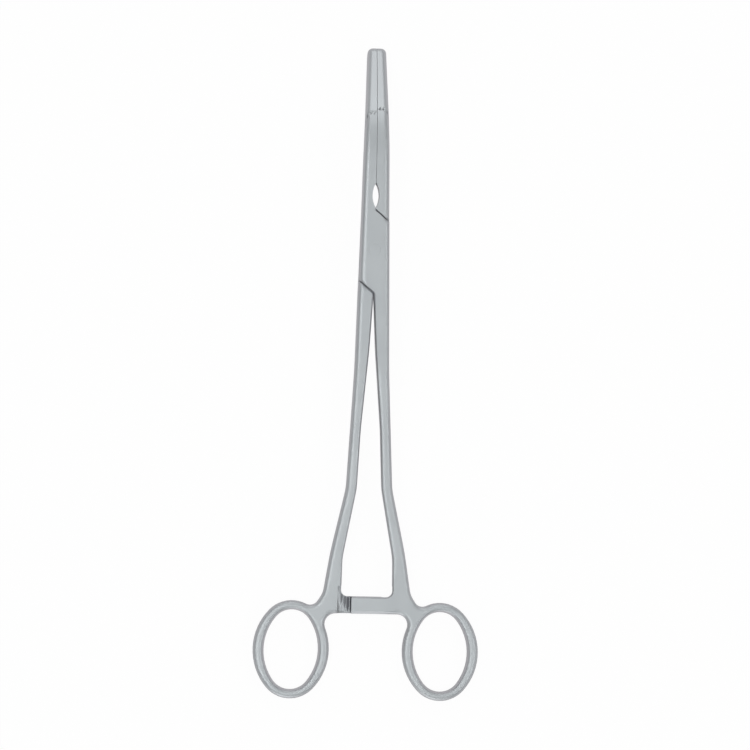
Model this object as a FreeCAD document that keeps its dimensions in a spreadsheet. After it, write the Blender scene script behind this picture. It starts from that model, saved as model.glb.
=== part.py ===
import FreeCAD, Part
import math
import os
import Sketcher

# Curved hysterectomy forceps with a box lock, finger rings and a ratchet.
# X runs across the instrument, Y along it towards the jaw tips, and Z out of the lock's upper flat.
# The origin lies on that flat, on the axis of the lock pin.
# The box half has its jaw on the -X side and its ring on the +X side, and the tongue half mirrors it.

# Driving dimensions in millimetres and degrees, each with the words that explain it
DIMENSIONS = [
    ("jaw_gap", 0.1, "space between the two closed jaw faces"),
    ("jaw_length", 75.0, "pin to the end of a jaw's middle line, along Y"),
    ("jaw_waist_width", 4.7, "one jaw, parting plane to outer side, at its waist"),
    ("jaw_waist_reach", 38.0, "pin to the waist of the jaws"),
    ("jaw_end_width", 3.3, "one jaw, parting plane to outer side, at the tip"),
    ("jaw_bow", 700.0, "radius of a jaw's outer side at the waist"),
    ("bend_start", 32.8, "pin to the start of the jaws' bend"),
    ("bend_radius", 45.0, "radius of the bend on a jaw's middle line"),
    ("bend_angle", 27.5, "turn of the bend, downwards"),
    ("jaw_tip_depth", 6.75, "depth of a jaw at its tip"),
    ("nose_round", 2.4, "rounding of the nose, seen from the side"),
    ("lock_depth", 7.8, "depth of the lock from flat to flat"),
    ("lock_half_width", 5.35, "parting plane to the lock's side, at the pin"),
    ("lock_taper", 0.018, "widening of each side towards the rings, per millimetre"),
    ("cheek_thickness", 2.2, "each cheek of the box"),
    ("tongue_play", 0.1, "space between the tongue and each cheek"),
    ("tongue_radius", 11.1, "pin to the rounded ends of the tongue"),
    ("slot_play", 0.15, "space between the tongue's ends and the slot's ends"),
    ("jaw_shoulder", 14.4, "pin to the jaw side's shoulder line, on the parting plane"),
    ("shank_shoulder", 15.8, "pin to the shank side's shoulder line, on the parting plane"),
    ("shoulder_slope", 0.8, "drop of a shoulder line per millimetre across"),
    ("shoulder_play", 0.12, "space between the shoulders and the cheeks"),
    ("shoulder_round", 1.8, "round where a shoulder line turns into the shank"),
    ("pin_radius", 1.7, "radius of the lock pin"),
    ("pin_flare", 0.5, "countersink under the pin's peened ends, across and deep"),
    ("pin_play", 0.03, "space between the pin and the tongue's bore"),
    ("relief_start", 15.3, "pin to the lower point of the opening at the jaws' heel"),
    ("relief_length", 9.4, "length of the opening at the jaws' heel"),
    ("relief_width", 1.3, "depth of that opening in one jaw"),
    ("groove_width", 0.88, "width of each lengthwise groove in a jaw face"),
    ("groove_depth", 0.55, "depth of each lengthwise groove"),
    ("ridge_width", 1.12, "width of each of the two toothed ridges"),
    ("tooth_start", 26.4, "pin to the first cross tooth, along the middle line"),
    ("tooth_pitch", 1.5, "spacing of the cross teeth"),
    ("tooth_width", 0.95, "width of the notch between two cross teeth"),
    ("tooth_depth", 0.4, "depth of that notch"),
    ("tooth_margin", 1.6, "plain nose beyond the last cross tooth"),
    ("parting_reach", 36.6, "pin to the place where the shanks part faster"),
    ("parting_width", 1.15, "parting plane to a shank's inner side there"),
    ("shank_reach", 45.0, "pin to the place where the shanks' outer sides lean out more"),
    ("shank_half_width", 6.35, "parting plane to the shank's outer side there"),
    ("shank_bow", 300.0, "radius of a shank's outer side there"),
    ("bulge_reach", 66.0, "pin to the place where the shanks part more slowly again"),
    ("bulge_inner", 3.62, "parting plane to a shank's inner side there"),
    ("parting_bow", 150.0, "radius of a shank's inner side at both places"),
    ("kink_reach", 88.0, "pin to the outward kink of the shanks"),
    ("kink_outer", 8.5, "parting plane to the outer side at the kink"),
    ("kink_inner", 4.6, "parting plane to the inner side at the kink"),
    ("kink_round", 25.0, "radius of the kink"),
    ("flare_rise", 16.3, "ratchet bars up to the end of the shanks' flare"),
    ("flare_outer", 13.7, "parting plane to the outer side at the flare's end"),
    ("flare_bow", 120.0, "radius of the outer side there"),
    ("heel_rise", 14.3, "ratchet bars up to the end of the flare on the inner side"),
    ("heel_inner", 9.25, "parting plane to a shank's inner side there"),
    ("shank_foot_inner", 9.45, "parting plane to a shank's inner side at its ratchet bar"),
    ("neck_rise", 1.0, "ratchet bars up to where the outer side leans into the ring"),
    ("shank_foot_outer", 16.15, "parting plane to a shank's outer side there"),
    ("neck_round", 8.0, "round of the outer side where it leans into the ring"),
    ("bar_reach", 127.8, "pin to the near edge of the ratchet bars"),
    ("bar_height", 6.2, "height of the ratchet bars along Y"),
    ("bar_end", 5.6, "parting plane to the free end of a ratchet bar"),
    ("bar_root", 10.6, "parting plane to the root of a bar's half thickness"),
    ("bar_fillet", 2.4, "fillet between a bar and its shank"),
    ("bar_play", 0.1, "space between the crests of the two bars"),
    ("ratchet_pitch", 1.25, "spacing of the ratchet teeth"),
    ("ratchet_tooth", 1.12, "width of the notch beside a ratchet tooth"),
    ("ratchet_depth", 0.65, "depth of the ratchet teeth"),
    ("ring_across", 27.5, "parting plane to the middle of a finger ring"),
    ("ring_drop", 13.6, "far edge of the bars to the middle of a finger ring"),
    ("ring_hole_width", 20.0, "finger ring opening, across"),
    ("ring_hole_length", 29.4, "finger ring opening, along"),
    ("ring_hole_end", 7.6, "radius of that opening's top and bottom"),
    ("ring_side_band", 4.0, "band of the ring at its sides"),
    ("ring_end_band", 3.3, "band of the ring at its top and bottom"),
    ("ring_end", 11.5, "radius of the ring's own top and bottom"),
    ("ring_tilt", 1.5, "lean of the ring, bottom outwards"),
    ("ring_depth", 4.6, "depth of the rings, the bars and the shanks' lower ends"),
    ("ring_top_fillet", 3.3, "fillet between a shank and the top of its ring"),
    ("ring_root_fillet", 4.0, "fillet between a bar and its ring"),
    ("thin_start", 18.0, "pin to the place where the shanks start to thin"),
    ("thin_rise", 10.0, "ratchet bars up to the place where the shanks reach the ring's depth"),
    ("thin_bow", 200.0, "radius where a shank's flats change their slope"),
    ("jaw_edge_round", 2.0, "rounding along the back and nose of each jaw and its side of the lock"),
    ("edge_chamfer", 1.0, "chamfer along the outer edges of the shanks, rings and bars"),
    ("inner_edge_chamfer", 0.5, "chamfer of the shoulders' edges and of the shanks' inner edges"),
    ("ring_hole_chamfer", 1.0, "chamfer along both edges of a finger ring's opening"),
]

doc = FreeCAD.newDocument("hysterectomy_forceps")
sheet = doc.addObject("Spreadsheet::Sheet", "Sizes")
for row, (alias, number, words) in enumerate(DIMENSIONS, start=1):
    sheet.set(f"A{row}", words)
    sheet.set(f"B{row}", str(number))
    sheet.setAlias(f"B{row}", alias)
doc.recompute()

# Waste that cutting shapes reach past the metal, on every side
WASTE = 4.0

# Two places nearer than this count as one, in millimetres
TOUCH = 0.01

# Least share of its normal that makes a wall face a direction, and the one at which two faces run on
FACING = 0.3
SMOOTH = 0.95

# Lengths that follow from the driving ones, as expressions over the sheet
GAP = "(Sizes.jaw_gap / 2)"
HALF_DEPTH = "(Sizes.lock_depth / 2)"
RING_DROP = "((Sizes.lock_depth - Sizes.ring_depth) / 2)"
BLANK_DEPTH = (f"(Sizes.lock_depth + {WASTE}"
               " + (Sizes.jaw_length - Sizes.bend_start) * tan(Sizes.bend_angle))")
BLANK_REACH = f"(Sizes.shank_shoulder + {WASTE})"
PAST_LOCK = f"(Sizes.shank_shoulder + {1.5 * WASTE})"
PAST_SIDE = f"(Sizes.tongue_radius + {WASTE})"
BAR_FOOT = "(Sizes.bar_reach + Sizes.bar_height)"
RING_REACH = f"({BAR_FOOT} + Sizes.ring_drop)"
RING_HALF_WIDTH = "(Sizes.ring_hole_width / 2 + Sizes.ring_side_band)"
RING_HALF_LENGTH = "(Sizes.ring_hole_length / 2 + Sizes.ring_end_band)"
GROOVE_STEP = "(Sizes.groove_width + Sizes.ridge_width)"

# A shank's inner side starts at the heel of the lock, on the parting plane, and leans out from there
HEEL = f"(Sizes.shank_shoulder + Sizes.shoulder_slope * {GAP})"
HEEL_LEAN = f"((Sizes.parting_width - {GAP}) / (Sizes.parting_reach - {HEEL}))"

# The jaw's middle line bends at this point, and ends at the second one
BEND_Y = "(Sizes.bend_start + Sizes.bend_radius * tan(Sizes.bend_angle / 2))"
END_Z = f"(-{HALF_DEPTH} - (Sizes.jaw_length - {BEND_Y}) * tan(Sizes.bend_angle))"

# Lengths of the jaw's middle line round its bend, and from there to the nose
BEND_LENGTH = "(Sizes.bend_radius * Sizes.bend_angle * pi / 180)"
NOSE_LENGTH = (f"((Sizes.jaw_length - {BEND_Y}) / cos(Sizes.bend_angle)"
               " - Sizes.bend_radius * tan(Sizes.bend_angle / 2))")


def value(expression):
    """Number that an expression over the sheet comes to."""
    result = sheet.evalExpression(str(expression))
    return float(getattr(result, "Value", result))


def new_sketch(body, name, role, offset="0"):
    """Sketch on one of a body's origin planes, lifted along the plane's normal."""
    plane = [item for item in body.Origin.OriginFeatures if item.Role == role][0]
    sketch = body.newObject("Sketcher::SketchObject", name)
    sketch.AttachmentSupport = [(plane, "")]
    sketch.MapMode = "FlatFace"
    sketch.setExpression("AttachmentOffset.Base.z", offset)
    return sketch


def bind(sketch, constraint, expression):
    """Add a dimension to a sketch and tie it to the sheet."""
    index = sketch.addConstraint(constraint)
    sketch.setExpression(f"Constraints[{index}]", str(expression))


def place_point(sketch, geometry, position, x, y):
    """Dimension a point of a sketch from the sketch's origin."""
    bind(sketch, Sketcher.Constraint("DistanceX", -1, 1, geometry, position, value(x)), x)
    bind(sketch, Sketcher.Constraint("DistanceY", -1, 1, geometry, position, value(y)), y)


def add_corner_arc(sketch, corner, reach, before_line, after_line, arrive, leave, x, y, size):
    """Tangent arc between two lines of a sketch, with their corner kept as a dimensioned point."""
    radius = value(size)
    inward = ((arrive + leave) * 0.5 - corner).normalize()
    centre = corner + inward * math.hypot(radius, reach)
    first, second = arrive - centre, leave - centre
    turns_left = first.cross(second).z > 0
    if not turns_left:
        first, second = second, first
    circle = Part.Circle(centre, FreeCAD.Vector(0, 0, 1), radius)
    span = math.atan2(first.y, first.x), math.atan2(second.y, second.x)
    arc = sketch.addGeometry(Part.ArcOfCircle(circle, *span))
    arc_in, arc_out = (1, 2) if turns_left else (2, 1)
    sketch.addConstraint(Sketcher.Constraint("Tangent", before_line, 2, arc, arc_in))
    sketch.addConstraint(Sketcher.Constraint("Tangent", after_line, 1, arc, arc_out))
    mark = sketch.addGeometry(Part.Point(corner), True)
    sketch.addConstraint(Sketcher.Constraint("PointOnObject", mark, 1, before_line))
    sketch.addConstraint(Sketcher.Constraint("PointOnObject", mark, 1, after_line))
    place_point(sketch, mark, 1, x, y)
    bind(sketch, Sketcher.Constraint("Radius", arc, radius), size)


def draw_line_run(sketch, corners):
    """Closed run of lines through the corners (x, y, round), with a tangent arc where there is a round."""
    points = [FreeCAD.Vector(value(x), value(y), 0) for x, y, _ in corners]
    count = len(points)
    arrive, leave, reaches = list(points), list(points), [0.0] * count
    for index, (_, _, size) in enumerate(corners):
        if size:
            before = (points[index - 1] - points[index]).normalize()
            after = (points[(index + 1) % count] - points[index]).normalize()
            reaches[index] = value(size) / math.tan(before.getAngle(after) / 2)
            arrive[index] = points[index] + before * reaches[index]
            leave[index] = points[index] + after * reaches[index]
    lines = []
    for index in range(count):
        line = Part.LineSegment(leave[index], arrive[(index + 1) % count])
        lines.append(sketch.addGeometry(line))
    for index in range(count):
        x, y, size = corners[index]
        before_line, after_line = lines[index - 1], lines[index]
        if size:
            add_corner_arc(sketch, points[index], reaches[index], before_line, after_line,
                           arrive[index], leave[index], x, y, size)
        else:
            sketch.addConstraint(Sketcher.Constraint("Coincident", before_line, 2, after_line, 1))
            place_point(sketch, after_line, 1, x, y)


def draw_oval(sketch, x, y, half_width, half_length, end_radius, turn):
    """Oval of four tangent arcs about a middle point, its long axis turned from the sketch's X axis."""
    reach = f"({half_length} - {end_radius})"
    rest = f"({half_width} ^ 2 + {reach} ^ 2 - {end_radius} ^ 2)"
    side_radius = f"({rest} / (2 * ({half_width} - {end_radius})))"
    sink = f"({side_radius} - {half_width})"
    spread = math.atan2(value(sink), value(reach))
    angle = math.radians(value(turn))
    arcs = []
    for quarter, (away, radius) in enumerate(((reach, end_radius), (f"(-{sink})", side_radius)) * 2):
        way = f"({turn} + {90 * quarter})"
        place = f"{x} + {away} * cos({way})", f"{y} + {away} * sin({way})"
        half_span = math.pi / 2 - spread if quarter % 2 else spread
        middle = angle + math.pi / 2 * quarter
        circle = Part.Circle(FreeCAD.Vector(value(place[0]), value(place[1]), 0), FreeCAD.Vector(0, 0, 1),
                             value(radius))
        arc = sketch.addGeometry(Part.ArcOfCircle(circle, middle - half_span, middle + half_span))
        arcs.append(arc)
        if quarter % 2 == 0:
            place_point(sketch, arc, 3, *place)
    for before, after in zip(arcs, arcs[1:] + arcs[:1]):
        sketch.addConstraint(Sketcher.Constraint("Tangent", before, 2, after, 1))
    for arc, radius in ((arcs[0], end_radius), (arcs[1], side_radius)):
        bind(sketch, Sketcher.Constraint("Radius", arc, value(radius)), radius)
    sketch.addConstraint(Sketcher.Constraint("Equal", arcs[0], arcs[2]))
    sketch.addConstraint(Sketcher.Constraint("Equal", arcs[1], arcs[3]))


def draw_circle(sketch, radius):
    """Circle about the sketch's origin."""
    circle = sketch.addGeometry(Part.Circle(FreeCAD.Vector(), FreeCAD.Vector(0, 0, 1), value(radius)))
    sketch.addConstraint(Sketcher.Constraint("Coincident", circle, 3, -1, 1))
    bind(sketch, Sketcher.Constraint("Radius", circle, value(radius)), radius)


def pad_down(body, sketch, length):
    """Pad a sketch against its plane's normal."""
    feature = body.newObject("PartDesign::Pad", f"{sketch.Name}_pad")
    feature.Profile = (sketch, [""])
    feature.Reversed = True
    feature.setExpression("Length", length)


def cut(body, sketch, length=None, side="One side", upwards=False):
    """Cut a sketch out of a body, right through it or to a depth given over the sheet."""
    feature = body.newObject("PartDesign::Pocket", f"{sketch.Name}_cut")
    feature.Profile = (sketch, [""])
    feature.SideType = side
    feature.Reversed = upwards
    if length is None:
        feature.Type = "ThroughAll"
    else:
        feature.Type = "Length"
        feature.setExpression("Length", length)
    return feature


def middle_of(edge):
    """Point halfway along an edge."""
    return edge.valueAt((edge.FirstParameter + edge.LastParameter) / 2)


def normals_beside(shape, edge):
    """Outward normals of the two faces that meet at an edge, taken at its middle."""
    found = []
    for face in shape.ancestorsOfType(edge, Part.Face):
        u, v = face.Surface.parameter(middle_of(edge))
        found.append(face.normalAt(u, v))
    return found


def is_upright(normal):
    """True for the normal of a wall that stands along Z."""
    return abs(normal.z) < TOUCH ** 2


def is_smooth(shape, edge):
    """True for an edge whose two faces run on into each other."""
    normals = normals_beside(shape, edge)
    return len(normals) == 2 and normals[0].dot(normals[1]) > SMOOTH


def fillet(body, name, size, wanted):
    """Round the edges of a body's newest shape for which wanted(shape, edge) holds."""
    doc.recompute()
    base = body.Tip
    names = [f"Edge{index}" for index, edge in enumerate(base.Shape.Edges, start=1)
             if wanted(base.Shape, edge)]
    feature = body.newObject("PartDesign::Fillet", name)
    feature.Base = (base, names)
    feature.setExpression("Radius", size)


def eased(kind, name, source, size, wanted):
    """Chamfer or fillet the edges of an object for which wanted(shape, edge) holds."""
    feature = doc.addObject(f"Part::{kind}", name)
    feature.Base = source
    number = value(size)
    feature.Edges = [(index, number, number) for index, edge in enumerate(source.Shape.Edges, start=1)
                     if wanted(source.Shape, edge)]
    doc.recompute()
    return feature


def going_on(name, source):
    """Body that takes an earlier shape on to its next cuts."""
    body = doc.addObject("PartDesign::Body", name)
    body.BaseFeature = source
    doc.recompute()
    return body


def inner_x(reach):
    """Place across of a shank's inner side, at a reach between the lock's heel and the parting corner."""
    return f"({GAP} + ({reach} - {HEEL}) * {HEEL_LEAN})"


def half_outline(hand):
    """Corners of one half seen from above: down its jaw, round the bar and ring's neck, and back up."""

    def at(across, along, size=None):
        return f"({hand}) * ({across})", along, size

    mid_width = "((Sizes.ring_hole_width + Sizes.ring_side_band) / 2)"
    mid_length = "((Sizes.ring_hole_length + Sizes.ring_end_band) / 2)"
    neck = f"Sizes.ring_across - {mid_width} * sqrt(1 - (Sizes.ring_drop / {mid_length}) ^ 2)"
    return [
        at(f"-{GAP}", f"Sizes.jaw_length + {WASTE}"),
        at("-Sizes.jaw_end_width", f"Sizes.jaw_length + {WASTE}"),
        at("-Sizes.jaw_waist_width", "Sizes.jaw_waist_reach", "Sizes.jaw_bow"),
        at(f"-(Sizes.lock_half_width + Sizes.lock_taper * {BLANK_REACH})", f"-{BLANK_REACH}"),
        at(inner_x(BLANK_REACH), f"-{BLANK_REACH}"),
        at("Sizes.parting_width", "-Sizes.parting_reach", "Sizes.parting_bow"),
        at("Sizes.bulge_inner", "-Sizes.bulge_reach", "Sizes.parting_bow"),
        at("Sizes.kink_inner", "-Sizes.kink_reach", "Sizes.kink_round"),
        at("Sizes.heel_inner", "-(Sizes.bar_reach - Sizes.heel_rise)", "Sizes.kink_round"),
        at("Sizes.shank_foot_inner", "-Sizes.bar_reach", "Sizes.bar_fillet"),
        at("-Sizes.bar_end", "-Sizes.bar_reach"),
        at("-Sizes.bar_end", f"-{BAR_FOOT}"),
        at(neck, f"-{BAR_FOOT}"),
        at("Sizes.shank_foot_outer", "-(Sizes.bar_reach - Sizes.neck_rise)", "Sizes.neck_round"),
        at("Sizes.flare_outer", "-(Sizes.bar_reach - Sizes.flare_rise)", "Sizes.flare_bow"),
        at("Sizes.kink_outer", "-Sizes.kink_reach", "Sizes.kink_round"),
        at("Sizes.shank_half_width", "-Sizes.shank_reach", "Sizes.shank_bow"),
        at(f"Sizes.lock_half_width - Sizes.lock_taper * {BLANK_REACH}", BLANK_REACH),
        at(f"-{GAP}", BLANK_REACH),
    ]


def side_profile(body, name):
    """Trim a blank to its profile seen from the side: straight lock, curved jaw, thinner shank and ring."""
    lean = f"({HALF_DEPTH} * tan(Sizes.bend_angle / 2))"
    rise_y = "(Sizes.jaw_tip_depth / 2 * sin(Sizes.bend_angle))"
    rise_z = "(Sizes.jaw_tip_depth / 2 * cos(Sizes.bend_angle))"
    foot = f"-({RING_REACH} + {RING_HALF_LENGTH} + {WASTE})"
    thin = "-(Sizes.bar_reach - Sizes.thin_rise)"
    sketch = new_sketch(body, f"{name}_side", "YZ_Plane")
    draw_line_run(sketch, [
        (foot, f"-{RING_DROP}", None),
        (thin, f"-{RING_DROP}", "Sizes.thin_bow"),
        ("-Sizes.thin_start", "0", "Sizes.thin_bow"),
        (f"{BEND_Y} + {lean}", "0", f"Sizes.bend_radius + {HALF_DEPTH}"),
        (f"Sizes.jaw_length + {rise_y}", f"{END_Z} + {rise_z}", "Sizes.nose_round"),
        (f"Sizes.jaw_length - {rise_y}", f"{END_Z} - {rise_z}", "Sizes.nose_round"),
        (f"{BEND_Y} - {lean}", "-Sizes.lock_depth", f"Sizes.bend_radius - {HALF_DEPTH}"),
        ("-Sizes.thin_start", "-Sizes.lock_depth", "Sizes.thin_bow"),
        (thin, f"-Sizes.lock_depth + {RING_DROP}", "Sizes.thin_bow"),
        (foot, f"-Sizes.lock_depth + {RING_DROP}", None),
    ])
    draw_line_run(sketch, [
        (f"{foot} - {WASTE}", f"{WASTE}", None),
        (f"Sizes.jaw_length + {3 * WASTE}", f"{WASTE}", None),
        (f"Sizes.jaw_length + {3 * WASTE}", f"-{BLANK_DEPTH} - {WASTE}", None),
        (f"{foot} - {WASTE}", f"-{BLANK_DEPTH} - {WASTE}", None),
    ])
    cut(body, sketch, side="Symmetric")


def make_blank(name, hand):
    """Forged blank of one half with square edges: jaw, lock, shank, ratchet bar and ring."""
    body = doc.addObject("PartDesign::Body", f"{name}_blank")
    outline = new_sketch(body, f"{name}_outline", "XY_Plane")
    draw_line_run(outline, half_outline(hand))
    pad_down(body, outline, BLANK_DEPTH)
    place, turn = (f"({hand}) * Sizes.ring_across", f"-{RING_REACH}"), f"90 + ({hand}) * Sizes.ring_tilt"
    ring = new_sketch(body, f"{name}_ring", "XY_Plane")
    draw_oval(ring, *place, RING_HALF_WIDTH, RING_HALF_LENGTH, "Sizes.ring_end", turn)
    pad_down(body, ring, BLANK_DEPTH)
    foot, shank = -value(BAR_FOOT), value("Sizes.shank_foot_outer")

    def at_ring(edge):
        first, last = edge.Vertexes[0].Point, edge.Vertexes[-1].Point
        upright = math.hypot(first.x - last.x, first.y - last.y) < TOUCH
        return upright and hand * first.x > shank and first.y < -value("Sizes.bar_reach")

    def at_top(shape, edge):
        return at_ring(edge) and middle_of(edge).y > foot + TOUCH and not is_smooth(shape, edge)

    fillet(body, f"{name}_ring_top", "Sizes.ring_top_fillet", at_top)
    fillet(body, f"{name}_ring_root", "Sizes.ring_root_fillet",
           lambda shape, edge: at_ring(edge) and abs(middle_of(edge).y - foot) < TOUCH)
    side_profile(body, name)
    hole = new_sketch(body, f"{name}_ring_hole", "XY_Plane")
    draw_oval(hole, *place, "(Sizes.ring_hole_width / 2)", "(Sizes.ring_hole_length / 2)",
              "Sizes.ring_hole_end", turn)
    opening = cut(body, hole, side="Symmetric")
    doc.recompute()
    chamfer = body.newObject("PartDesign::Chamfer", f"{name}_ring_hole_edges")
    chamfer.Base = (opening, ring_hole_edges(opening.Shape, hand))
    chamfer.setExpression("Size", "Sizes.ring_hole_chamfer")
    doc.recompute()
    return body


def ring_hole_edges(shape, hand):
    """Names of the level edges round a finger ring's opening."""
    middle = FreeCAD.Vector(hand * value("Sizes.ring_across"), -value(RING_REACH), 0)
    reach = value("Sizes.ring_hole_length / 2") + TOUCH

    def at_hole(edge):
        ends = [vertex.Point for vertex in edge.Vertexes]
        level = abs(ends[0].z - ends[-1].z) < TOUCH
        return level and all(math.hypot(end.x - middle.x, end.y - middle.y) < reach for end in ends)

    return [f"Edge{index}" for index, edge in enumerate(shape.Edges, start=1) if at_hole(edge)]


def sideways(hand, shape, edge):
    """How far an outer edge lies across, and how far its one upright wall faces outwards there."""
    walls = [normal for normal in normals_beside(shape, edge) if is_upright(normal)]
    if len(walls) != 1:
        return 0.0, 0.0
    return hand * middle_of(edge).x, hand * walls[0].x


def jaw_back_edges(hand):
    """Choice of the edges along a jaw's back, round its nose and down its side of the lock."""
    top = -value("Sizes.bar_reach")

    def wanted(shape, edge):
        across, outward = sideways(hand, shape, edge)
        return middle_of(edge).y > top and across < 0 and outward < -FACING

    return wanted


def outer_edges(hand):
    """Choice of the outer edges of a shank, its ratchet bar and its ring."""
    top = -value("Sizes.bar_reach")
    ring = FreeCAD.Vector(hand * value("Sizes.ring_across"), -value(RING_REACH), 0)
    hole_reach = value(RING_HALF_WIDTH) - TOUCH

    def wanted(shape, edge):
        middle, (across, outward) = middle_of(edge), sideways(hand, shape, edge)
        if across == 0 or math.hypot(middle.x - ring.x, middle.y - ring.y) < hole_reach:
            return False
        bar_end = across < 0 and abs(outward) > FACING
        beside_shank = middle.y > top and across > 0 and outward > FACING
        return beside_shank or (middle.y < top - TOUCH and not bar_end)

    return wanted


def inner_edges(hand):
    """Choice of the edges of the shoulders and of the shank's inner side, down to its bar."""
    top, lock_side, middle_z = -value("Sizes.bar_reach"), value("Sizes.lock_half_width"), -value(HALF_DEPTH)

    def wanted(shape, edge):
        middle, normals = middle_of(edge), normals_beside(shape, edge)
        if len(normals) != 2 or is_smooth(shape, edge):
            return False
        if hand < 0 and abs(middle.z - middle_z) < value("Sizes.lock_depth / 4"):
            return False
        walls = [normal for normal in normals if is_upright(normal)]
        inward = any(hand * wall.x < -FACING for wall in walls)
        on_bar = any(wall.y > SMOOTH for wall in walls) and abs(middle.y - top) < TOUCH
        under_jaw = hand < 0 and middle.y > 0 and any(wall.y < -FACING for wall in walls)
        return on_bar or under_jaw or (inward and top + TOUCH < middle.y < -lock_side)

    return wanted


def make_eased_blank(name, hand):
    """Blank of one half with its outer edges eased."""
    rounded = eased("Fillet", f"{name}_rounded", make_blank(name, hand), "Sizes.jaw_edge_round",
                    jaw_back_edges(hand))
    return eased("Chamfer", f"{name}_chamfered", rounded, "Sizes.edge_chamfer", outer_edges(hand))


def shoulder_y(side, across, play="0"):
    """Distance along Y from the pin to a shoulder line at a place across, with a play square to it."""
    lift = f"{play} * sqrt(1 + Sizes.shoulder_slope ^ 2)"
    return f"(Sizes.{side}_shoulder - Sizes.shoulder_slope * ({across}) + {lift})"


def trim_box(body):
    """Cut the box half off along the two shoulder lines, which leaves its two cheeks between them."""
    sketch = new_sketch(body, "box_shoulders", "XY_Plane")
    draw_line_run(sketch, [
        (f"-{GAP}", PAST_LOCK, None),
        (f"-{GAP}", shoulder_y("jaw", f"-{GAP}"), None),
        (PAST_SIDE, shoulder_y("jaw", PAST_SIDE), None),
        (PAST_SIDE, PAST_LOCK, None),
    ])
    draw_line_run(sketch, [
        (inner_x(PAST_LOCK), f"-{PAST_LOCK}", None),
        (GAP, f"-{HEEL}", "Sizes.shoulder_round"),
        (f"-{PAST_SIDE}", f"-{shoulder_y('shank', PAST_SIDE)}", None),
        (f"-{PAST_SIDE}", f"-{PAST_LOCK}", None),
    ])
    cut(body, sketch, side="Symmetric")
    doc.recompute()


def trim_tongue(body):
    """Sink the tongue half's lock for both cheeks, and round off the two ends of its tongue."""
    sides = (("front", "0", False), ("back", "-Sizes.lock_depth", True))
    play = "Sizes.shoulder_play"
    heel = shoulder_y("shank", GAP, play)
    for side, plane, upwards in sides:
        sketch = new_sketch(body, f"tongue_{side}", "XY_Plane", plane)
        draw_line_run(sketch, [
            (GAP, PAST_LOCK, None),
            (GAP, shoulder_y("jaw", GAP, play), None),
            (PAST_SIDE, shoulder_y("jaw", PAST_SIDE, play), None),
            (PAST_SIDE, f"-{PAST_LOCK}", None),
            (f"-{inner_x(PAST_LOCK)}", f"-{PAST_LOCK}", None),
            (f"-{inner_x(heel)}", f"-{heel}", "Sizes.shoulder_round"),
            (f"-{PAST_SIDE}", f"-{shoulder_y('shank', PAST_SIDE, play)}", None),
            (f"-{PAST_SIDE}", PAST_LOCK, None),
        ])
        cut(body, sketch, "Sizes.cheek_thickness + Sizes.tongue_play", upwards=upwards)
    sketch = new_sketch(body, "tongue_ends", "XY_Plane")
    draw_beyond_disc(sketch, 1, [(GAP, PAST_LOCK)])
    draw_beyond_disc(sketch, -1, [(inner_x(PAST_LOCK), PAST_LOCK), (GAP, HEEL)])
    cut(body, sketch, side="Symmetric")
    doc.recompute()


def draw_beyond_disc(sketch, sign, wall):
    """Outline of the waste beyond one rounded end of the tongue, along a wall of its own half."""
    radius, gap = value("Sizes.tongue_radius"), value(GAP)
    meeting = f"sqrt(Sizes.tongue_radius ^ 2 - {GAP} ^ 2)"
    circle = Part.Circle(FreeCAD.Vector(), FreeCAD.Vector(0, 0, 1), radius)
    turn = 0 if sign > 0 else math.pi
    begin = math.atan2(value(meeting), gap)
    arc = sketch.addGeometry(Part.ArcOfCircle(circle, begin + turn, math.pi + turn))
    corners = [("-Sizes.tongue_radius", "0"), (f"-{PAST_SIDE}", "0"), (f"-{PAST_SIDE}", PAST_LOCK),
               *wall, (GAP, meeting)]
    points = [FreeCAD.Vector(sign * value(x), sign * value(y), 0) for x, y in corners]
    lines = [sketch.addGeometry(Part.LineSegment(a, b)) for a, b in zip(points, points[1:])]
    sketch.addConstraint(Sketcher.Constraint("Coincident", arc, 3, -1, 1))
    sketch.addConstraint(Sketcher.Constraint("Coincident", arc, 2, lines[0], 1))
    sketch.addConstraint(Sketcher.Constraint("Coincident", arc, 1, lines[-1], 2))
    for before, after in zip(lines, lines[1:]):
        sketch.addConstraint(Sketcher.Constraint("Coincident", before, 2, after, 1))
    for line, (x, y) in zip(lines, corners):
        place_point(sketch, line, 1, f"({sign}) * ({x})", f"({sign}) * ({y})")
    bind(sketch, Sketcher.Constraint("DistanceX", -1, 1, lines[-1], 2, sign * gap), f"({sign}) * {GAP}")


def cut_slot(body):
    """Open the middle layer of the box for the tongue: beside the parting plane, and around its ends."""
    depth = "(Sizes.lock_depth - 2 * Sizes.cheek_thickness)"
    for name, sign in (("slot_jaw_side", ""), ("slot_shank_side", "-")):
        sketch = new_sketch(body, name, "XY_Plane", f"-{HALF_DEPTH}")
        inner = f"{sign}(-{GAP})"
        draw_line_run(sketch, [
            (inner, "0", None),
            (f"{sign}{PAST_SIDE}", "0", None),
            (f"{sign}{PAST_SIDE}", f"{sign}{PAST_LOCK}", None),
            (inner, f"{sign}{PAST_LOCK}", None),
        ])
        cut(body, sketch, depth, "Symmetric")
    sketch = new_sketch(body, "slot_ends", "XY_Plane", f"-{HALF_DEPTH}")
    draw_circle(sketch, "Sizes.tongue_radius + Sizes.slot_play")
    cut(body, sketch, depth, "Symmetric")


def cut_bore(body, name, radius):
    """Bore for the lock pin."""
    sketch = new_sketch(body, f"{name}_bore", "XY_Plane")
    draw_circle(sketch, radius)
    cut(body, sketch, side="Symmetric")
    doc.recompute()


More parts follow.
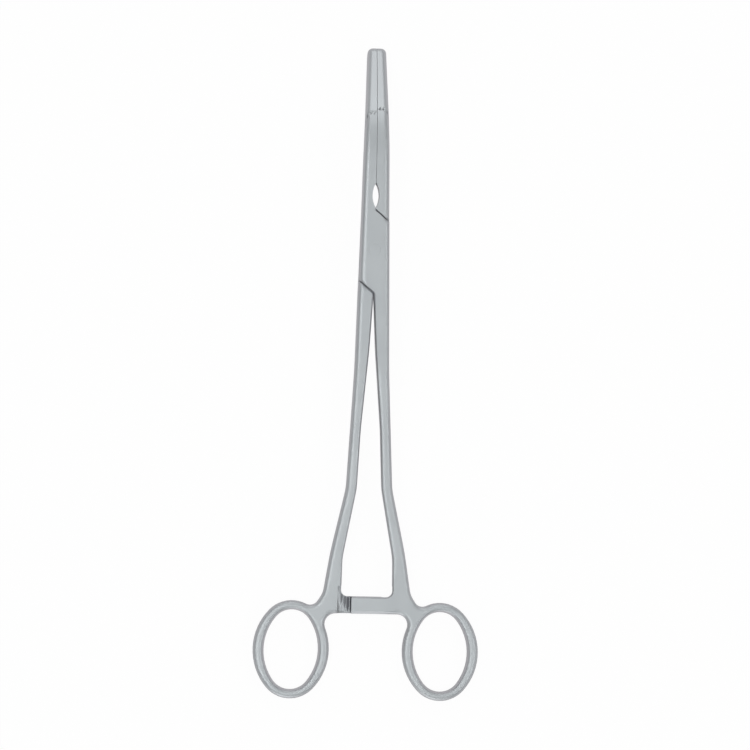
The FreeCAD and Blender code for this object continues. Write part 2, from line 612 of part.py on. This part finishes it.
def cut_relief(body, name, hand):
    """Half of the lens-shaped opening that the two jaws leave at their heel."""
    start, length = value("Sizes.relief_start"), value("Sizes.relief_length")
    width = value("Sizes.relief_width")
    radius = "(((Sizes.relief_length / 2) ^ 2 + Sizes.relief_width ^ 2) / (2 * Sizes.relief_width))"
    low, high = FreeCAD.Vector(0, start, 0), FreeCAD.Vector(0, start + length, 0)
    bulge = FreeCAD.Vector(-hand * width, start + length / 2, 0)
    sketch = new_sketch(body, f"{name}_relief", "XY_Plane")
    arc = sketch.addGeometry(Part.Arc(low, bulge, high))
    chord = sketch.addGeometry(Part.LineSegment(low, high))
    arc_low, arc_high = (2, 1) if hand > 0 else (1, 2)
    sketch.addConstraint(Sketcher.Constraint("Coincident", arc, arc_low, chord, 1))
    sketch.addConstraint(Sketcher.Constraint("Coincident", arc, arc_high, chord, 2))
    place_point(sketch, chord, 1, "0", "Sizes.relief_start")
    place_point(sketch, chord, 2, "0", "Sizes.relief_start + Sizes.relief_length")
    bind(sketch, Sketcher.Constraint("Radius", arc, value(radius)), radius)
    cut(body, sketch, side="Symmetric")
    doc.recompute()


def cut_bar(body, name, hand):
    """Halve the ratchet bar's depth where the other half's bar passes, so that one lies on the other."""
    face = f"-{HALF_DEPTH} + ({hand}) * Sizes.bar_play / 2"
    sketch = new_sketch(body, f"{name}_bar", "XY_Plane", face)
    draw_line_run(sketch, [
        (f"({hand}) * Sizes.bar_root", f"-(Sizes.bar_reach - {WASTE})", None),
        (f"({hand}) * Sizes.bar_root", f"-({BAR_FOOT} + {WASTE})", None),
        (f"-({hand}) * (Sizes.bar_end + {WASTE})", f"-({BAR_FOOT} + {WASTE})", None),
        (f"-({hand}) * (Sizes.bar_end + {WASTE})", f"-(Sizes.bar_reach - {WASTE})", None),
    ])
    cut(body, sketch, "Sizes.ring_depth", upwards=hand < 0)
    doc.recompute()


def cut_ratchet(body, name, hand):
    """Sawtooth notches along the face that one ratchet bar turns to the other."""
    face = f"(-{HALF_DEPTH} + ({hand}) * Sizes.bar_play / 2)"
    root = f"({face} + ({hand}) * Sizes.ratchet_depth)"
    first = "(Sizes.bar_end - Sizes.ratchet_pitch / 2)"
    sketch = new_sketch(body, f"{name}_ratchet_tooth", "XZ_Plane")
    draw_line_run(sketch, [
        (f"-({hand}) * {first}", face, None),
        (f"-({hand}) * {first}", root, None),
        (f"-({hand}) * ({first} - Sizes.ratchet_tooth)", face, None),
    ])
    notch = cut(body, sketch, side="Symmetric")
    pattern = body.newObject("PartDesign::LinearPattern", f"{name}_ratchet_teeth")
    pattern.Originals = [notch]
    pattern.Direction = (sketch, ["H_Axis"])
    pattern.Reversed = hand < 0
    pattern.Mode = "Spacing"
    pattern.setExpression("Offset", "Sizes.ratchet_pitch")
    pattern.setExpression("Occurrences", "floor((Sizes.bar_end + Sizes.bar_root) / Sizes.ratchet_pitch)")
    body.Tip = pattern
    doc.recompute()


def make_pin():
    """Lock pin: a rivet whose two ends are peened into the cheeks' countersinks and dressed flush."""
    body = doc.addObject("PartDesign::Body", "pivot_pin")
    sketch = new_sketch(body, "pin_section", "XZ_Plane")
    draw_line_run(sketch, [
        ("0", "0", None),
        ("Sizes.pin_radius + Sizes.pin_flare", "0", None),
        ("Sizes.pin_radius", "-Sizes.pin_flare", None),
        ("Sizes.pin_radius", "-(Sizes.lock_depth - Sizes.pin_flare)", None),
        ("Sizes.pin_radius + Sizes.pin_flare", "-Sizes.lock_depth", None),
        ("0", "-Sizes.lock_depth", None),
    ])
    turned = body.newObject("PartDesign::Revolution", "pin_turned")
    turned.Profile = (sketch, [""])
    turned.ReferenceAxis = (sketch, ["V_Axis"])
    turned.Angle = 360
    doc.recompute()
    return body


def countersink(body, name):
    """Countersinks for the pin's peened ends, in both flats of the box."""
    flats = (0, -value("Sizes.lock_depth"))
    radius = value("Sizes.pin_radius")

    def at_flat(edge):
        bore = edge.Curve.TypeId == "Part::GeomCircle" and abs(edge.Curve.Radius - radius) < 1e-3
        return bore and min(abs(middle_of(edge).z - flat) for flat in flats) < 1e-3

    doc.recompute()
    base = body.Tip
    names = [f"Edge{index}" for index, edge in enumerate(base.Shape.Edges, start=1) if at_flat(edge)]
    chamfer = body.newObject("PartDesign::Chamfer", name)
    chamfer.Base = (base, names)
    chamfer.setExpression("Size", "Sizes.pin_flare")
    doc.recompute()


def cut_grooves(body, name, hand):
    """Lengthwise grooves in a jaw's face, out at its nose, drawn about the centre of its bend."""
    sketch = new_sketch(body, f"{name}_grooves", "YZ_Plane", f"-({hand}) * {GAP}")
    sketch.setExpression("AttachmentOffset.Base.x", "Sizes.bend_start")
    sketch.setExpression("AttachmentOffset.Base.y", f"-({HALF_DEPTH} + Sizes.bend_radius)")
    start = "-(Sizes.bend_start - Sizes.relief_start - Sizes.relief_length / 2)"
    run = f"({NOSE_LENGTH} + {WASTE})"

    def at_end(reach):
        along = f"{reach} * sin(Sizes.bend_angle) + {run} * cos(Sizes.bend_angle)"
        return along, f"{reach} * cos(Sizes.bend_angle) - {run} * sin(Sizes.bend_angle)", None

    for step in (-1, 0, 1):
        middle = f"Sizes.bend_radius + ({step}) * {GROOVE_STEP}"
        low, high = f"({middle} - Sizes.groove_width / 2)", f"({middle} + Sizes.groove_width / 2)"
        draw_line_run(sketch, [
            (start, low, None),
            (f"{low} * tan(Sizes.bend_angle / 2)", low, low),
            at_end(low),
            at_end(high),
            (f"{high} * tan(Sizes.bend_angle / 2)", high, high),
            (start, high, None),
        ])
    cut(body, sketch, "Sizes.groove_depth", upwards=hand < 0)
    doc.recompute()
    return sketch


def cut_notch(body, name, hand, turn, run):
    """Notch across the toothed ridges, turned about the bend's centre and then moved on along the jaw."""
    sketch = new_sketch(body, name, "XY_Plane")
    tilt = FreeCAD.Rotation(FreeCAD.Vector(-1, 0, 0), 1)
    sketch.AttachmentOffset = FreeCAD.Placement(FreeCAD.Vector(), tilt)
    sketch.setExpression("AttachmentOffset.Rotation.Angle", turn)
    sketch.setExpression("AttachmentOffset.Base.y",
                         f"Sizes.bend_start + Sizes.bend_radius * sin({turn}) + {run} * cos({turn})")
    sketch.setExpression("AttachmentOffset.Base.z",
                         f"Sizes.bend_radius * (cos({turn}) - 1) - {run} * sin({turn}) - {HALF_DEPTH}")
    side = "(Sizes.tooth_width / 2 * (1 + Sizes.jaw_gap / Sizes.tooth_depth))"
    draw_line_run(sketch, [
        (f"-({hand}) * ({GAP} + Sizes.tooth_depth)", "0", None),
        (f"({hand}) * {GAP}", side, None),
        (f"({hand}) * {GAP}", f"-{side}", None),
    ])
    return sketch, cut(body, sketch, f"2 * {GROOVE_STEP}", "Symmetric")


def cut_teeth(body, name, hand, axis_sketch):
    """Cross teeth at one pitch along the jaw's middle line: before its bend, round it and beyond it."""
    shift = "0" if hand > 0 else "Sizes.tooth_pitch / 2"
    start = f"(Sizes.tooth_start + {shift})"
    heel_count = f"(floor((Sizes.bend_start - {start}) / Sizes.tooth_pitch) + 1)"
    bend_run = f"({start} + {heel_count} * Sizes.tooth_pitch - Sizes.bend_start)"
    bend_count = f"(floor(({BEND_LENGTH} - {bend_run}) / Sizes.tooth_pitch) + 1)"
    nose_run = f"({bend_run} + {bend_count} * Sizes.tooth_pitch - {BEND_LENGTH})"
    nose_count = f"(floor(({NOSE_LENGTH} - Sizes.tooth_margin - {nose_run}) / Sizes.tooth_pitch) + 1)"
    bend_turn = f"({bend_run} / Sizes.bend_radius * 180 / pi)"
    groups = (("heel", "0", f"({start} - Sizes.bend_start)", heel_count),
              ("bend", bend_turn, "0", bend_count),
              ("nose", "Sizes.bend_angle", nose_run, nose_count))
    for place, turn, run, count in groups:
        sketch, notch = cut_notch(body, f"{name}_{place}_tooth", hand, turn, run)
        if place == "bend":
            pattern = body.newObject("PartDesign::PolarPattern", f"{name}_{place}_teeth")
            pattern.Axis = (axis_sketch, ["N_Axis"])
            pattern.Reversed = True
            spacing = "Sizes.tooth_pitch / Sizes.bend_radius * 180 / pi"
        else:
            pattern = body.newObject("PartDesign::LinearPattern", f"{name}_{place}_teeth")
            pattern.Direction = (sketch, ["V_Axis"])
            spacing = "Sizes.tooth_pitch"
        pattern.Originals = [notch]
        pattern.Mode = "Spacing"
        pattern.setExpression("Offset", spacing)
        pattern.setExpression("Occurrences", count)
        body.Tip = pattern
        doc.recompute()


def finish_half(name, hand, source):
    """Cuts that turn a rounded half into the finished one, apart from those of its own lock."""
    body = going_on(f"{name}_half", source)
    cut_relief(body, name, hand)
    cut_bar(body, name, hand)
    cut_ratchet(body, name, hand)
    grooves = cut_grooves(body, name, hand)
    cut_teeth(body, name, hand, grooves)
    return body


def check_document(pieces):
    """Stop when any object failed to recompute, or a piece is not one sound solid."""
    failed = [item.Name for item in doc.Objects if "Invalid" in item.State or "Error" in item.State]
    if failed:
        raise RuntimeError(f"failed objects: {failed}")
    for piece in pieces:
        shape = piece.Shape
        if shape.isNull() or not shape.isValid() or len(shape.Solids) != 1:
            raise RuntimeError(f"unsound piece: {piece.Label}")


def main():
    box, tongue = make_eased_blank("box", 1), make_eased_blank("tongue", -1)
    trimmed = going_on("box_trimmed", box)
    trim_box(trimmed)
    edged = eased("Chamfer", "box_edged", trimmed, "Sizes.inner_edge_chamfer", inner_edges(1))
    sunk = going_on("tongue_trimmed", tongue)
    trim_tongue(sunk)
    tongue_edged = eased("Chamfer", "tongue_edged", sunk, "Sizes.inner_edge_chamfer", inner_edges(-1))

    box_half = finish_half("box", 1, edged)
    cut_slot(box_half)
    cut_bore(box_half, "box", "Sizes.pin_radius")
    countersink(box_half, "countersinks")
    tongue_half = finish_half("tongue", -1, tongue_edged)
    cut_bore(tongue_half, "tongue", "Sizes.pin_radius + Sizes.pin_play")
    pieces = (box_half, tongue_half, make_pin())
    check_document(pieces)
    os.makedirs("parts", exist_ok=True)
    for piece in pieces:
        piece.Shape.exportStep(f"parts/{piece.Label}.step")
        print(piece.Label, round(piece.Shape.Volume, 1), len(piece.Shape.Faces))


main()
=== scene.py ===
import logging
import math
from dataclasses import dataclass
from enum import Enum

import bpy
from mathutils import Matrix, Vector

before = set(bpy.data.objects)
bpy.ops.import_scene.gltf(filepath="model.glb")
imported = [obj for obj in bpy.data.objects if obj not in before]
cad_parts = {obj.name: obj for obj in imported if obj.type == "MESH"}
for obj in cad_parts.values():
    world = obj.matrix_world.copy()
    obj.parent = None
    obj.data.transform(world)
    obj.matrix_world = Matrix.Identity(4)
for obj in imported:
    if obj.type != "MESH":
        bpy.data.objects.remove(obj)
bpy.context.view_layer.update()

LOG = logging.getLogger("forceps")
MM = 0.001
WHITE = (1.0, 1.0, 1.0, 1.0)
MIX_COLOUR = 2  # the output of a Mix node that carries a colour; its inputs 6 and 7 do so too


def linear(hex_colour: str) -> tuple[float, float, float, float]:
    """Turn an sRGB hex colour into a linear one, by the constants of the sRGB standard.

    Args:
        hex_colour: six hex digits, with or without a leading hash.

    Returns:
        Linear red, green, blue, and an alpha of 1.
    """
    digits = hex_colour.lstrip("#")
    channels = [int(digits[index:index + 2], 16) / 255 for index in (0, 2, 4)]
    curve = [c / 12.92 if c <= 0.04045 else ((c + 0.055) / 1.055) ** 2.4 for c in channels]
    return curve[0], curve[1], curve[2], 1.0


class NodeTree:
    """Node tree of a material or a world, filled one node at a time."""

    def __init__(self, owner: bpy.types.ID) -> None:
        """Empty the tree.

        Args:
            owner: the material or the world.
        """
        owner.use_nodes = True
        self.tree = owner.node_tree
        self.tree.nodes.clear()

    def add(self, kind: str, settings: dict | None = None, **links) -> bpy.types.Node:
        """Add one node.

        Args:
            kind: the node's type name in full, such as ShaderNodeBump.
            settings: attributes of the node, set before its inputs.
            links: an input's name (with _ for a space), or _ and its number, and the value
                that it gets or the socket that feeds it.

        Returns:
            The new node.
        """
        node = self.tree.nodes.new(kind)
        for key, setting in (settings or {}).items():
            setattr(node, key, setting)
        for key, source in links.items():
            number, title = key[1:], key.replace("_", " ")
            socket = node.inputs[int(number) if number.isdigit() else title]
            if isinstance(source, bpy.types.NodeSocket):
                self.tree.links.new(source, socket)
            else:
                socket.default_value = source
        return node


@dataclass(frozen=True)
class SatinSteel:
    """Stainless steel of a surgical instrument, blasted and then satin-brushed on a belt.

    To the eye, blasting gives an even grey without sharp reflections, with soft clouds in its
    tone. The belt leaves a faint lengthwise grain and rounds the outer edges to soft bands.
    Lengths and places are in millimetres on the object. wall_from and wall_to are how much a
    surface faces the front or the back, from 1 for a flat to 0 for a wall; between them the
    colour turns to a darker one on the walls, which is painted shade.
    """

    name: str = "satin_steel"
    light: str = "C1C6C8"
    dark: str = "B2B7BA"
    # The walls' colour is painted shade, darker than the flats.
    painted_wall_shade: str = "ADACB0"
    wall_from: float = 0.97
    wall_to: float = 0.35
    roughness: float = 0.46
    roughness_spread: float = 0.05
    cloud_size: float = 14.0
    cloud_detail: float = 3.0
    # The real pits of blasting and lines of brushing are too fine to show in the render, so
    # both are drawn coarser.
    grain_size: float = 0.22
    grain_detail: float = 2.0
    grain_depth: float = 0.004
    brush_size: float = 0.12
    brush_stretch: float = 40.0
    brush_detail: float = 1.0
    brush_depth: float = 0.003
    shank_round: float = 1.8
    lock_round: float = 2.0
    teeth_round: float = 0.12
    teeth_to_x: float = 2.2
    round_from_x: float = 3.2
    shank_from_y: float = -18.0
    lock_to_y: float = -15.5
    ratchet_y: float = -124.5
    ratchet_radius: float = 10.5
    ratchet_fade: float = 2.5
    edge_samples: int = 16

    def material(self) -> bpy.types.Material:
        """Make the material.

        Returns:
            The material, with its cloudy tone, rounded edges and fine relief.
        """
        material = bpy.data.materials.new(self.name)
        net = NodeTree(material)
        place = net.add("ShaderNodeTexCoord").outputs["Object"]
        clouds = net.add("ShaderNodeTexNoise", Vector=place,
                         Scale=1 / (self.cloud_size * MM), Detail=self.cloud_detail)
        rough = net.add("ShaderNodeMapRange", Value=clouds.outputs["Fac"],
                        To_Min=self.roughness - self.roughness_spread,
                        To_Max=self.roughness + self.roughness_spread)
        edge = self.rounded_edges(net, place)
        shader = net.add("ShaderNodeBsdfPrincipled", Metallic=1.0,
                         Base_Color=self.colour(net, clouds.outputs["Fac"], edge),
                         Roughness=rough.outputs["Result"],
                         Normal=self.relief(net, place, edge))
        net.add("ShaderNodeOutputMaterial", Surface=shader.outputs["BSDF"])
        return material

    def rounded_edges(self, net: NodeTree, place: bpy.types.NodeSocket) -> bpy.types.NodeSocket:
        """Round the edges as polishing does, which leaves the teeth crisp.

        The shanks and rings take shank_round, the lock and the jaws lock_round. The teeth of
        the jaws, between the two halves, and those of the ratchet take teeth_round.

        Args:
            net: the material's nodes.
            place: the place on the object.

        Returns:
            The normal of the rounded surface.
        """
        split = net.add("ShaderNodeSeparateXYZ", Vector=place)
        aside = net.add("ShaderNodeMath", {"operation": "ABSOLUTE"}, _0=split.outputs["X"])
        off_teeth = net.add("ShaderNodeMapRange", Value=aside.outputs["Value"],
                            From_Min=self.teeth_to_x * MM, From_Max=self.round_from_x * MM)
        reach = net.add("ShaderNodeVectorMath", {"operation": "DISTANCE"}, _0=place,
                        _1=(0.0, self.ratchet_y * MM, 0.0))
        off_ratchet = net.add("ShaderNodeMapRange", Value=reach.outputs["Value"],
                              From_Min=self.ratchet_radius * MM,
                              From_Max=(self.ratchet_radius + self.ratchet_fade) * MM)
        soft = net.add("ShaderNodeMath", {"operation": "MULTIPLY"},
                       _0=off_teeth.outputs["Result"], _1=off_ratchet.outputs["Result"])
        below_lock = net.add("ShaderNodeMapRange", Value=split.outputs["Y"],
                             From_Min=self.lock_to_y * MM, From_Max=self.shank_from_y * MM)
        wide = net.add("ShaderNodeMapRange", Value=below_lock.outputs["Result"],
                       To_Min=self.lock_round * MM, To_Max=self.shank_round * MM)
        width = net.add("ShaderNodeMapRange", Value=soft.outputs["Value"],
                        To_Min=self.teeth_round * MM, To_Max=wide.outputs["Result"])
        edge = net.add("ShaderNodeBevel", {"samples": self.edge_samples},
                       Radius=width.outputs["Result"])
        return edge.outputs["Normal"]

    def colour(self, net: NodeTree, clouds: bpy.types.NodeSocket,
               edge: bpy.types.NodeSocket) -> bpy.types.NodeSocket:
        """Mix the colour: a cloudy tone on the flats, with painted shade that darkens the
        walls.

        Args:
            net: the material's nodes.
            clouds: share of the lighter tone.
            edge: the normal of the rounded surface.

        Returns:
            The colour.
        """
        tone = net.add("ShaderNodeMix", {"data_type": "RGBA"}, _0=clouds,
                       _6=linear(self.dark), _7=linear(self.light))
        # Painted shade: the more the rounded surface faces sideways, the more it takes the
        # darker walls' colour.
        facing = net.add("ShaderNodeSeparateXYZ", Vector=edge)
        flat = net.add("ShaderNodeMath", {"operation": "ABSOLUTE"}, _0=facing.outputs["Z"])
        wall_shade_share = net.add("ShaderNodeMapRange", Value=flat.outputs["Value"],
                          From_Min=self.wall_from, From_Max=self.wall_to)
        mixed = net.add("ShaderNodeMix", {"data_type": "RGBA"}, _0=wall_shade_share.outputs["Result"],
                        _6=tone.outputs[MIX_COLOUR], _7=linear(self.painted_wall_shade))
        return mixed.outputs[MIX_COLOUR]

    def relief(self, net: NodeTree, place: bpy.types.NodeSocket,
               edge: bpy.types.NodeSocket) -> bpy.types.NodeSocket:
        """Lay the pits of the blasting and the lines of the belt on the surface.

        Args:
            net: the material's nodes.
            place: the place on the object.
            edge: the normal of the rounded surface.

        Returns:
            The normal with its relief.
        """
        grain = net.add("ShaderNodeTexNoise", Vector=place,
                        Scale=1 / (self.grain_size * MM), Detail=self.grain_detail)
        pits = net.add("ShaderNodeBump", Height=grain.outputs["Fac"],
                       Distance=self.grain_depth * MM, Normal=edge)
        squeeze = net.add("ShaderNodeMapping", Vector=place,
                          Scale=(1.0, 1 / self.brush_stretch, 1.0))
        brush = net.add("ShaderNodeTexNoise", Vector=squeeze.outputs["Vector"],
                        Scale=1 / (self.brush_size * MM), Detail=self.brush_detail)
        lines = net.add("ShaderNodeBump", Height=brush.outputs["Fac"],
                        Distance=self.brush_depth * MM, Normal=pits.outputs["Normal"])
        return lines.outputs["Normal"]


class Part(Enum):
    """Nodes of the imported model."""

    BOX = "box_half"
    TONGUE = "tongue_half"
    PIN = "pivot_pin"

    @property
    def mesh(self) -> bpy.types.Mesh:
        """The node's mesh."""
        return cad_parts[self.value].data


@dataclass(frozen=True)
class Forceps:
    """The instrument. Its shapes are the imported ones, and it gets its finish here."""

    finish: SatinSteel = SatinSteel()

    def dress(self) -> None:
        """Give each node the finish."""
        steel = self.finish.material()
        for part in Part:
            part.mesh.materials.clear()
            part.mesh.materials.append(steel)
            LOG.info("%s is dressed in %s", part.value, steel.name)

    def resting_plane(self, ring_lean: float) -> tuple[Vector, float]:
        """Find the plane on which the instrument rests, under its jaw tips and its rings.

        Args:
            ring_lean: how far a lower point of the rings may be passed over for one that is
                nearer to their far end, in metres per metre.

        Returns:
            A point of the plane, and its slope along the instrument in radians.
        """
        points = [v.co for part in (Part.BOX, Part.TONGUE) for v in part.mesh.vertices]
        tip = min((p for p in points if p.y > 0), key=lambda p: p.z)
        ring = min((p for p in points if p.y < 0), key=lambda p: p.z + ring_lean * p.y)
        return ring, math.atan2(tip.z - ring.z, tip.y - ring.y)


@dataclass(frozen=True)
class Softbox:
    """Strip lamp that runs along the instrument and faces it. In metres and watts."""

    name: str
    place: tuple[float, float, float]
    length: float
    width: float
    power: float
    aim: tuple[float, float, float] = (0.0, -0.04, 0.0)

    def hang(self) -> None:
        """Hang the lamp in its place."""
        lamp = bpy.data.lights.new(self.name, "AREA")
        lamp.shape = "RECTANGLE"
        lamp.size = self.length
        lamp.size_y = self.width
        lamp.energy = self.power
        holder = bpy.data.objects.new(self.name, lamp)
        bpy.context.scene.collection.objects.link(holder)
        holder.location = self.place
        way = Vector(self.aim) - Vector(self.place)
        holder.rotation_euler = way.to_track_quat("-Z", "Y").to_euler()


@dataclass(frozen=True)
class Studio:
    """World, floor and lamps. The floor's size is in metres.

    Each step of the sky is the height of a direction, from 0 at the horizon to 1 overhead, and
    its strength, where 1 is white. The darker belt over the horizon draws the steel's edges.
    """

    floor_colour: str = "F4F4F4"
    floor_white_share: float = 0.96
    floor_size: float = 3.0
    ring_lean: float = 0.1
    sky: tuple[tuple[float, float], ...] = (
        (0.0, 1.0), (0.08, 1.0), (0.16, 0.38), (0.55, 0.41), (0.92, 0.66))
    lamps: tuple[Softbox, ...] = (
        Softbox("key", (-0.30, -0.10, 0.80), length=1.0, width=0.24, power=1.7),
        Softbox("fill", (0.60, -0.15, 0.70), length=1.0, width=0.24, power=1.5),
        Softbox("top", (0.0, 0.90, 0.55), length=0.8, width=0.30, power=1.8),
        Softbox("low", (-0.20, -1.20, 0.24), length=0.8, width=0.25, power=2.2))

    def add_world(self) -> None:
        """Light the scene from the sky."""
        world = bpy.data.worlds.new("studio")
        bpy.context.scene.world = world
        net = NodeTree(world)
        way = net.add("ShaderNodeTexCoord").outputs["Generated"]
        split = net.add("ShaderNodeSeparateXYZ", Vector=way)
        glow = net.add("ShaderNodeValToRGB", Fac=split.outputs["Z"])
        steps = glow.color_ramp.elements
        while len(steps) < len(self.sky):
            steps.new(1.0)
        for step, (height, strength) in zip(steps, self.sky):
            step.position, step.color = height, (strength, strength, strength, 1.0)
        sky = net.add("ShaderNodeBackground", Color=glow.outputs["Color"])
        net.add("ShaderNodeOutputWorld", Surface=sky.outputs["Background"])

    def floor_paint(self) -> bpy.types.Material:
        """Make the floor's matt paint, which is white to the camera and in reflections.

        Returns:
            The material. A small share of it stays paint there, which keeps the shadow.
        """
        material = bpy.data.materials.new("floor")
        net = NodeTree(material)
        paint = net.add("ShaderNodeBsdfDiffuse", Color=linear(self.floor_colour))
        glow = net.add("ShaderNodeEmission", Color=WHITE, Strength=1.0)
        path = net.add("ShaderNodeLightPath")
        seen = net.add("ShaderNodeMath", {"operation": "MAXIMUM"},
                       _0=path.outputs["Is Camera Ray"], _1=path.outputs["Is Glossy Ray"])
        seen = net.add("ShaderNodeMath", {"operation": "MAXIMUM"},
                       _0=seen.outputs["Value"], _1=path.outputs["Is Transmission Ray"])
        share = net.add("ShaderNodeMath", {"operation": "MULTIPLY"},
                        _0=seen.outputs["Value"], _1=self.floor_white_share)
        both = net.add("ShaderNodeMixShader", _0=share.outputs["Value"],
                       _1=paint.outputs["BSDF"], _2=glow.outputs["Emission"])
        net.add("ShaderNodeOutputMaterial", Surface=both.outputs["Shader"])
        return material

    def add_floor(self, forceps: Forceps) -> None:
        """Lay the floor under the instrument.

        Args:
            forceps: the instrument.
        """
        half = self.floor_size / 2
        corners = [(-half, -half, 0), (half, -half, 0), (half, half, 0), (-half, half, 0)]
        mesh = bpy.data.meshes.new("floor")
        mesh.from_pydata(corners, [], [(0, 1, 2, 3)])
        mesh.materials.append(self.floor_paint())
        floor = bpy.data.objects.new("floor", mesh)
        bpy.context.scene.collection.objects.link(floor)
        point, slope = forceps.resting_plane(self.ring_lean)
        floor.matrix_world = Matrix.Translation(point) @ Matrix.Rotation(slope, 4, "X")

    def hang_lamps(self) -> None:
        """Hang every lamp."""
        for lamp in self.lamps:
            lamp.hang()


@dataclass(frozen=True)
class Shot:
    """Camera of the photograph, and the point that it looks at.

    Lengths are in millimetres and angles in degrees; the clip distances are in metres.
    """

    look_x: float = 1.3
    look_y: float = -46.0
    look_z: float = -3.9
    view_width: float = 276.45
    distance: float = 1200.0
    azimuth: float = -3.0
    tilt: float = 0.0
    roll: float = 1.3
    sensor_width: float = 36.0
    clip_start: float = 0.01
    clip_end: float = 10.0

    def add_camera(self) -> None:
        """Place the camera."""
        camera = bpy.data.cameras.new("photo")
        camera.sensor_width = self.sensor_width
        camera.lens = camera.sensor_width * self.distance / self.view_width
        camera.clip_start, camera.clip_end = self.clip_start, self.clip_end
        holder = bpy.data.objects.new("photo", camera)
        bpy.context.scene.collection.objects.link(holder)
        target = Vector((self.look_x, self.look_y, self.look_z)) * MM
        turn = (Matrix.Rotation(math.radians(self.azimuth), 4, "Y")
                @ Matrix.Rotation(math.radians(self.tilt), 4, "X")
                @ Matrix.Rotation(math.radians(self.roll), 4, "Z"))
        back = Matrix.Translation((0, 0, self.distance * MM))
        holder.matrix_world = Matrix.Translation(target) @ turn @ back
        bpy.context.scene.camera = holder


def main() -> None:
    """Dress the forceps, set up the studio around them and place the camera."""
    logging.basicConfig(level=logging.INFO)
    bpy.context.scene.view_settings.view_transform = "Standard"
    forceps = Forceps()
    forceps.dress()
    studio = Studio()
    studio.add_world()
    studio.add_floor(forceps)
    studio.hang_lamps()
    Shot().add_camera()


if __name__ == "__main__":
    main()
